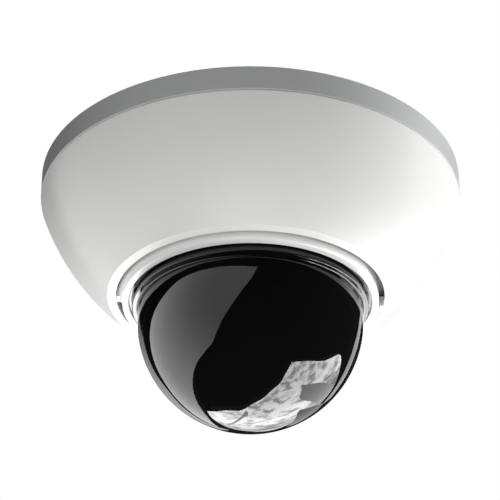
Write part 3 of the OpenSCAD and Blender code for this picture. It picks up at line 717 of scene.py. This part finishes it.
class DOME_OT_collar(bpy.types.Operator):
    """Build the twist collar with its lugs, nail pockets and tabs"""

    bl_idname = "dome.collar"
    bl_label = "Collar"

    def execute(self, context):
        size = settings().dome
        deep = POCKET_RADIUS
        spread = math.radians(POCKET_ANGLE)
        reach = size.collar_radius
        shift = (reach**2 - deep**2) / (2.0 * (deep - reach * math.cos(spread)))
        start = math.radians(size.lug_at - size.lug_width / 2.0)
        soft = 0.06 * MM

        def pocketed(turn, radius):
            """The radius, narrowed by the pocket before each lug."""
            local = math.remainder(turn - start, math.pi)
            if not -spread - math.radians(size.lug_width) <= local <= 0.0:
                return radius
            wide = (deep + shift) ** 2 - (shift * math.sin(local)) ** 2
            limit = math.sqrt(wide) - shift * math.cos(local)
            over = (radius - limit) / soft
            if over < -30.0:
                return radius
            return min(limit, radius) - soft * math.log(1.0 + math.exp(-abs(over)))

        corners = [
            (size.neck_inside, -size.neck_depth, 0.2 * MM),
            (size.neck_radius, -size.neck_depth, 0.2 * MM),
            (size.neck_radius, -size.skirt_depth, 0.0),
            (reach, -size.skirt_depth, 0.1 * MM),
            (reach, -size.collar_depth, size.collar_round),
            (size.collar_inside, -size.collar_depth, 0.35 * MM),
            (size.collar_inside, -size.seat_depth, 0.0),
            (size.neck_inside, -size.seat_depth, 0.0),
        ]
        turns = even(432)
        sliver = math.radians(0.06)
        for lug in (start, start + math.pi):
            turns += [lug - sliver, lug + sliver]
        mesh = bmesh.new()
        lathe(mesh, rounded(corners, 10), sorted(turns), pocketed)
        lug_low = -size.collar_depth + size.lug_short
        lug_high = -size.skirt_depth - 0.1 * MM
        for turn in (size.lug_at, size.lug_at + 180.0):
            sector(mesh, LUG_INSIDE, LUG_OUTSIDE, lug_low, lug_high,
                   turn - size.lug_width / 2.0 - LUG_STEP, turn + size.lug_width / 2.0, 0.18 * MM)
            side = turn + TAB_TURN
            sector(mesh, LUG_INSIDE, TAB_OUTSIDE, TAB_LOW, TAB_HIGH,
                   side - TAB_HALF, side + TAB_HALF, 0.2 * MM)
        collar = new_object("twist_collar", mesh)
        shade = tuple(settings().colours.collar)
        plastic = moulded("collar_plastic", shade, 0.24, 1700.0, 0.004, 0.012)
        piece(collar, plastic, "dome", "collar_white", "dome_collar")
        return {"FINISHED"}


class DOME_OT_bubble(bpy.types.Operator):
    """Build the smoked bubble with its root ring and flange"""

    bl_idname = "dome.bubble"
    bl_label = "Bubble"

    def execute(self, context):
        size = settings().dome
        outer = size.bubble_radius
        inner = outer - size.bubble_wall
        middle = -size.bubble_depth + outer
        ring = outer + size.root_width
        ring_low = -size.seat_depth - size.root_height
        quarter = math.pi / 2.0
        cap = arc((0.0, middle), outer, -quarter, 0.0, 96)
        cap[0] = (0.0, -size.bubble_depth)
        inside = arc((0.0, middle), inner, 0.0, -quarter, 64)
        inside[-1] = (0.0, middle - inner)
        corners = [(*point, 0.0) for point in cap] + [
            (outer, ring_low, 0.6 * MM),
            (ring, ring_low, 0.5 * MM),
            (ring, -size.seat_depth, 0.2 * MM),
            (size.flange_radius, -size.seat_depth, 0.2 * MM),
            (size.flange_radius, -size.flange_depth, 0.2 * MM),
            (inner, -size.flange_depth, 0.3 * MM),
        ] + [(*point, 0.0) for point in inside]
        mesh = bmesh.new()
        lathe(mesh, rounded(corners), even(320))
        bubble = new_object("bubble", mesh)
        piece(bubble, smoked("smoked_plastic", tuple(settings().colours.bubble)), "dome",
              "smoked_clear", "smoked_bubble")
        rubber = moulded("gasket_rubber", (0.02, 0.02, 0.021), 0.65, 2000.0, 0.03, 0.15)
        dress(rubber, "bubble_gasket")
        dress(moulded("clamp_plastic", (0.06, 0.06, 0.065), 0.45), "bubble_clamp")
        return {"FINISHED"}


class DOME_OT_board_parts(bpy.types.Operator):
    """Add the small surface parts of the main board"""

    bl_idname = "dome.board_parts"
    bl_label = "Board parts"

    def execute(self, context):
        face = BOARD_LOW.z
        pick = random.Random(7)
        chips, metal = bmesh.new(), bmesh.new()
        for step in range(0, 360, CHIP_STEP):
            gap = min(abs(math.remainder(step - turn, 360.0)) - room for turn, room in TAKEN)
            if gap < 0.0:
                continue
            for row in range(CHIP_ROWS):
                radius = (CHIP_CIRCLE + CHIP_ROW_GAP * row + pick.uniform(-0.8, 0.8)) * MM
                turn = math.radians(step + pick.uniform(-0.6, 0.6))
                spot = Vector((radius * math.cos(turn), radius * math.sin(turn), face))
                chip = BIG_CHIP if pick.random() > BIG_ABOVE else SMALL_CHIP
                wide, deep, tall = (side * MM for side in chip)
                spin = turn + (math.pi / 2.0) * pick.randint(0, 1)
                centre = spot - Vector((0.0, 0.0, tall / 2.0))
                block(chips, (wide, deep, tall), centre, spin, 0.08 * MM)
                for end in (-1.0, 1.0):
                    along = Vector((-math.sin(spin), math.cos(spin), 0.0)) * end
                    joint = spot + along * (deep / 2.0 + 0.15 * MM)
                    block(metal, (wide * 0.94, 0.5 * MM, tall * 0.8),
                          joint - Vector((0.0, 0.0, tall * 0.4)), spin, 0.04 * MM)
        piece(new_object("board_chips", chips), moulded("chip_body", (0.022, 0.022, 0.024), 0.5),
              "base", "chip_black")
        piece(new_object("board_solder", metal), turned("solder", (0.66, 0.66, 0.64), 0.3, 2600.0),
              "base", "nickel")
        return {"FINISHED"}


class DOME_OT_base_hardware(bpy.types.Operator):
    """Finish the hardware and electronics carried by the base"""

    bl_idname = "dome.base_hardware"
    bl_label = "Base hardware"

    def execute(self, context):
        rubber = moulded("black_rubber", (0.02, 0.02, 0.021), 0.62, 2200.0, 0.03, 0.15)
        screws = turned("screw_steel", (0.62, 0.61, 0.58), 0.30)
        spring = turned("spring_steel", (0.52, 0.52, 0.54), 0.34, 3000.0)
        dress(rubber, "cover_seal", "cable_grommet")
        dress(turned("plated_steel", (0.60, 0.60, 0.58), 0.32, 3800.0), "pan_keeper")
        dress(screws, "keeper_screws", "pan_lock_screw", "board_screws", "clip_screws",
              "liner_screws", "tilt_pins", "sensor_screws", "zoom_lever", "focus_lever")
        dress(spring, "cover_clips", "core_clip")
        mask = board_mask("board_mask", tuple(settings().colours.board))
        dress(mask, "main_board", "sensor_board")
        dress(turned("brass", (0.72, 0.50, 0.20), 0.28), "board_standoffs")
        dress(moulded("terminal_plastic", (0.03, 0.24, 0.09), 0.42), "power_terminal")
        dress(turned("nickel", (0.70, 0.68, 0.62), 0.18), "video_socket")
        dress(moulded("chip_plastic", (0.02, 0.02, 0.022), 0.48), "image_processor", "image_sensor")
        dress(turned("bare_aluminium", (0.74, 0.74, 0.75), 0.36), "heat_sink", "camera_core")
        dress(sleeve("capacitor_sleeve", (0.03, 0.08, 0.22)), "capacitors")
        return {"FINISHED"}


class DOME_OT_gimbal(bpy.types.Operator):
    """Finish the gimbal, the liner and the lens"""

    bl_idname = "dome.gimbal"
    bl_label = "Gimbal and lens"

    def execute(self, context):
        plastic = moulded("gimbal_plastic", (0.045, 0.045, 0.05), 0.46)
        liner = moulded("liner_plastic", (0.010, 0.010, 0.011), 0.55, 3000.0, 0.02, 0.1)
        paint = moulded("lens_paint", (0.016, 0.016, 0.017), 0.38, 3200.0, 0.01, 0.1)
        glass = coated_glass("lens_glass", (0.10, 0.13, 0.20), (0.22, 0.10, 0.26), 0.45)
        screen = coated_glass("filter_glass", (0.30, 0.50, 0.55), (0.40, 0.20, 0.30), 0.5)
        dress(plastic, "pan_turntable", "tilt_cradle", "sensor_holder")
        dress(liner, "inner_liner")
        dress(paint, "lens_barrel", "zoom_ring", "focus_ring")
        dress(glass, "front_lens", "rear_lens")
        dress(screen, "ir_filter")
        return {"FINISHED"}


# ---- Studio: azimuth 0 is the viewer's side and grows to the right; elevation grows upwards ----

SKY_CENTRE = Vector((0.0, 0.0, -0.0552))
FAR_CARD = 1.9
NEAR_CARD = 1.85
CARD_COLUMNS, CARD_ROWS = 96, 16
LIGHT_DISTANCE, LIGHT_SIZE = 1.6, 1.0
FLOOR_REACH, FLOOR_GLOW = 6.0, 0.62
SENSOR_WIDTH, SHIFT_X = 36.0, -0.0009
GLOSSY_SKY = 0.01

LIGHTS = [
    # name, azimuth, elevation, power
    ("key", 105.0, 18.0, 33.0),
    ("low_right", 120.0, -62.0, 14.0),
    ("low_left", -20.0, -62.0, 13.0),
    ("back_left", -150.0, -25.0, 9.0),
    ("left", -70.0, -25.0, 0.6),
    ("front", 15.0, 12.0, 5.5),
]


def left_glow(nodes, x, y, z):
    """Brighter towards the back."""
    return 1.0 + (y + 0.9).step(0.0, 1.3) * 1.6


def low_right_glow(nodes, x, y, z):
    """Brighter low down and at the right, with soft blotches."""
    blotch = 0.35 + nodes.noise(nodes.place(), 4.5, 3.0).step(0.32, 0.6) * 0.7
    return (2.2 + (0.0 - z).step(0.12, 0.5).largest(x.step(0.65, 0.82)) * 7.2) * blotch


def left_strip_glow(nodes, x, y, z):
    """Fainter with height."""
    return 1.4 - z * 2.6


CARDS = [
    # name, distance, upper edge, lower edge, glow. An edge is a list of (azimuth, elevation), and
    # the glow is a number or a function of the direction.
    (
        "left_softbox",
        FAR_CARD,
        [(-172.0, 0.0), (-157.0, -4.0), (-145.0, -3.0), (-135.0, 3.0), (-118.0, 12.0),
         (-94.0, 20.0), (-70.0, 27.0), (-30.0, 29.0), (7.0, 27.0)],
        [(-172.0, 0.0), (-160.0, -18.0), (-140.0, -31.0), (-114.0, -39.0), (-85.0, -42.0),
         (-66.0, -42.0), (-48.0, -38.0), (-23.0, -16.0), (-10.0, 0.0), (1.0, 15.0), (7.0, 27.0)],
        left_glow,
    ),
    (
        "low_right_softbox",
        FAR_CARD,
        [(76.0, -51.0), (91.0, -38.0), (106.0, -24.0), (118.0, -7.0), (134.0, -5.0),
         (148.0, -3.0), (166.0, -3.0), (176.0, 2.0), (181.0, -3.0), (186.0, -7.0), (205.0, -27.0)],
        [(76.0, -51.0), (88.0, -59.0), (107.0, -64.0), (130.0, -68.0), (155.0, -66.0),
         (178.0, -60.0), (190.0, -49.0), (201.0, -42.0), (205.0, -27.0)],
        low_right_glow,
    ),
    (
        "upper_screen",
        NEAR_CARD,
        [(120.0, -44.0), (127.0, -26.0), (135.0, -15.0), (145.0, -4.0), (153.0, -4.0)],
        [(120.0, -44.0), (130.0, -40.5), (140.0, -36.0), (147.0, -20.0), (153.0, -9.0)],
        2.3,
    ),
    (
        "lower_screen",
        NEAR_CARD,
        [(154.0, -12.0), (157.0, -1.0), (162.0, 5.0), (172.0, 9.0)],
        [(154.0, -22.0), (157.0, -20.0), (163.0, -11.0), (172.0, 4.0)],
        0.9,
    ),
    (
        "gap_screen",
        NEAR_CARD,
        [(182.0, -41.0), (185.0, -37.0), (187.0, -26.0), (189.5, -11.0)],
        [(182.0, -48.0), (185.0, -49.0), (187.0, -38.0), (189.5, -20.0)],
        2.6,
    ),
    (
        "right_strip",
        FAR_CARD,
        [(136.0, 13.0), (138.5, 19.0), (140.5, 22.5), (146.0, 26.5), (148.0, 27.5)],
        [(136.0, 12.0), (139.0, 6.0), (142.0, 3.5), (145.0, 2.0), (148.0, 1.5)],
        1.5,
    ),
    (
        "right_strip_top",
        FAR_CARD,
        [(148.0, 27.5), (153.0, 28.5), (158.0, 29.0)],
        [(148.0, 22.5), (153.0, 25.0), (158.0, 27.0)],
        0.9,
    ),
    (
        "right_strip_end",
        FAR_CARD,
        [(148.0, 14.0), (151.0, 11.0), (155.0, 8.5), (160.0, 8.0)],
        [(148.0, 1.5), (151.0, 1.0), (155.0, 1.5), (160.0, 3.0)],
        1.6,
    ),
    (
        "left_strip",
        FAR_CARD,
        [(-175.0, 12.0), (-166.0, 26.0), (-155.0, 27.0), (-148.0, 24.0), (-142.0, 18.0)],
        [(-175.0, 1.0), (-160.0, 0.0), (-150.0, 0.5), (-146.0, 9.0), (-142.0, 16.0)],
        left_strip_glow,
    ),
]


def direction(azimuth, elevation):
    """The unit vector of a direction."""
    a, e = math.radians(azimuth), math.radians(elevation)
    return Vector((math.sin(a) * math.cos(e), -math.cos(a) * math.cos(e), math.sin(e)))


def between(points, azimuth):
    """Height of a listed edge at an azimuth, smooth between its points."""
    last = len(points) - 1
    slopes = []
    for i in range(last + 1):
        (a, low), (b, high) = points[max(0, i - 1)], points[min(last, i + 1)]
        slopes.append((high - low) / (b - a))
    for i in range(last):
        (a, low), (b, high) = points[i], points[i + 1]
        if azimuth <= b:
            span = b - a
            t = max(0.0, (azimuth - a) / span)
            rise = slopes[i] * span * t * (1.0 - t) ** 2
            rise -= slopes[i + 1] * span * t * t * (1.0 - t)
            return low + (high - low) * t * t * (3.0 - 2.0 * t) + rise
    return points[-1][1]


def card(name, distance, upper, lower, glow):
    """A glowing curved card that only shows in reflections."""
    mesh = bmesh.new()
    first, last = upper[0][0], upper[-1][0]
    grid = []
    for i in range(CARD_COLUMNS + 1):
        azimuth = first + (last - first) * i / CARD_COLUMNS
        high, low = between(upper, azimuth), between(lower, azimuth)
        column = []
        for j in range(CARD_ROWS + 1):
            spot = distance * direction(azimuth, low + (high - low) * j / CARD_ROWS)
            column.append(mesh.verts.new(SKY_CENTRE + spot))
        grid.append(column)
    for here, after in zip(grid, grid[1:]):
        for j in range(CARD_ROWS):
            mesh.faces.new((here[j], after[j], after[j + 1], here[j + 1]))
    made = new_object(name, mesh)
    material = bpy.data.materials.new(name + "_glow")
    nodes = Nodes(material)
    if callable(glow):
        x, y, z = nodes.parts(nodes.place())
        glow = glow(nodes, x / distance, y / distance, (z - SKY_CENTRE.z) / distance)
    light = nodes.node("ShaderNodeEmission", {}, {"Color": (1.0, 1.0, 1.0), "Strength": glow})
    nodes.node("ShaderNodeOutputMaterial", {}, {"Surface": light})
    made.data.materials.append(material)
    made.visible_camera = False
    made.visible_diffuse = False
    made.visible_shadow = False
    made.visible_transmission = False


def lamp(name, azimuth, elevation, power):
    """A soft round light that points at the dome and doesn't show in reflections."""
    light = bpy.data.lights.new(name, "AREA")
    light.shape = "DISK"
    light.size = LIGHT_SIZE
    light.energy = power
    made = bpy.data.objects.new(name, light)
    made.location = SKY_CENTRE + LIGHT_DISTANCE * direction(azimuth, elevation)
    made.rotation_euler = (SKY_CENTRE - made.location).to_track_quat("-Z", "Y").to_euler()
    made.visible_glossy = False
    bpy.context.scene.collection.objects.link(made)


class DOME_OT_stage(bpy.types.Operator):
    """Set up the floor, the studio light and the camera"""

    bl_idname = "dome.stage"
    bl_label = "Studio and camera"

    def execute(self, context):
        studio = settings().studio
        scene = context.scene
        camera = bpy.data.cameras.new("camera")
        camera.lens = studio.lens
        camera.sensor_width = SENSOR_WIDTH
        camera.shift_x = SHIFT_X
        camera.clip_start = 0.02
        camera.clip_end = 20.0
        holder = bpy.data.objects.new("camera", camera)
        holder.location = (0.0, -studio.distance, -studio.drop)
        holder.rotation_euler = (math.radians(90.0 + studio.tilt), 0.0, 0.0)
        scene.collection.objects.link(holder)
        scene.camera = holder
        scene.view_settings.view_transform = "Standard"

        mesh = bmesh.new()
        bmesh.ops.create_grid(mesh, x_segments=8, y_segments=8, size=FLOOR_REACH,
                              matrix=Matrix.Translation((0.0, 0.0, -studio.floor_drop)))
        floor = new_object("floor", mesh)
        glow = {"Emission Color": (1.0, 1.0, 1.0, 1.0), "Emission Strength": FLOOR_GLOW}
        floor.data.materials.append(
            moulded("floor_paper", (0.82, 0.82, 0.82), 0.7, 400.0, 0.01, 0.01, **glow))
        floor.visible_diffuse = False
        floor.visible_glossy = False

        for light in LIGHTS:
            lamp(*light)

        world = bpy.data.worlds.new("studio")
        nodes = Nodes(world)
        seen = nodes.node("ShaderNodeLightPath", out="Is Camera Ray")
        shine = nodes.node("ShaderNodeLightPath", out="Is Glossy Ray")
        around_dome = (1.0 - seen) * (1.0 - shine) * studio.fill + (1.0 - seen) * shine * GLOSSY_SKY
        backdrop = nodes.node(
            "ShaderNodeBackground", {}, {"Color": (1.0, 1.0, 1.0), "Strength": seen + around_dome}
        )
        nodes.node("ShaderNodeOutputWorld", {}, {"Surface": backdrop})
        scene.world = world

        for panel in CARDS:
            card(*panel)
        return {"FINISHED"}


class DOME_PT_panel(bpy.types.Panel):
    """Lists the steps that build the dome camera"""

    bl_idname = "DOME_PT_panel"
    bl_label = "Dome camera"
    bl_space_type = "VIEW_3D"
    bl_region_type = "UI"
    bl_category = "Dome camera"

    def draw(self, context):
        for step in STEPS:
            self.layout.operator(step.bl_idname)
        for group in ("housing", "dome", "colours", "studio"):
            box = self.layout.box()
            box.label(text=group.capitalize())
            owner = getattr(context.scene.dome_camera, group)
            for name in owner.__annotations__:
                box.prop(owner, name)


STEPS = (
    DOME_OT_base,
    DOME_OT_bowl,
    DOME_OT_collar,
    DOME_OT_bubble,
    DOME_OT_base_hardware,
    DOME_OT_board_parts,
    DOME_OT_gimbal,
    DOME_OT_stage,
)
CLASSES = (
    HousingSizes,
    DomeSizes,
    FinishColours,
    StudioSettings,
    DomeCameraSettings,
    *STEPS,
    DOME_PT_panel,
)


def register():
    """Register the classes and the settings."""
    for kind in CLASSES:
        bpy.utils.register_class(kind)
    bpy.types.Scene.dome_camera = PointerProperty(type=DomeCameraSettings)


def unregister():
    """Remove the settings and the classes."""
    del bpy.types.Scene.dome_camera
    for kind in reversed(CLASSES):
        bpy.utils.unregister_class(kind)


def main():
    """Build everything in order."""
    register()
    for step in STEPS:
        group, name = step.bl_idname.split(".")
        getattr(getattr(bpy.ops, group), name)()
    bpy.context.view_layer.update()


if __name__ == "__main__":
    main()
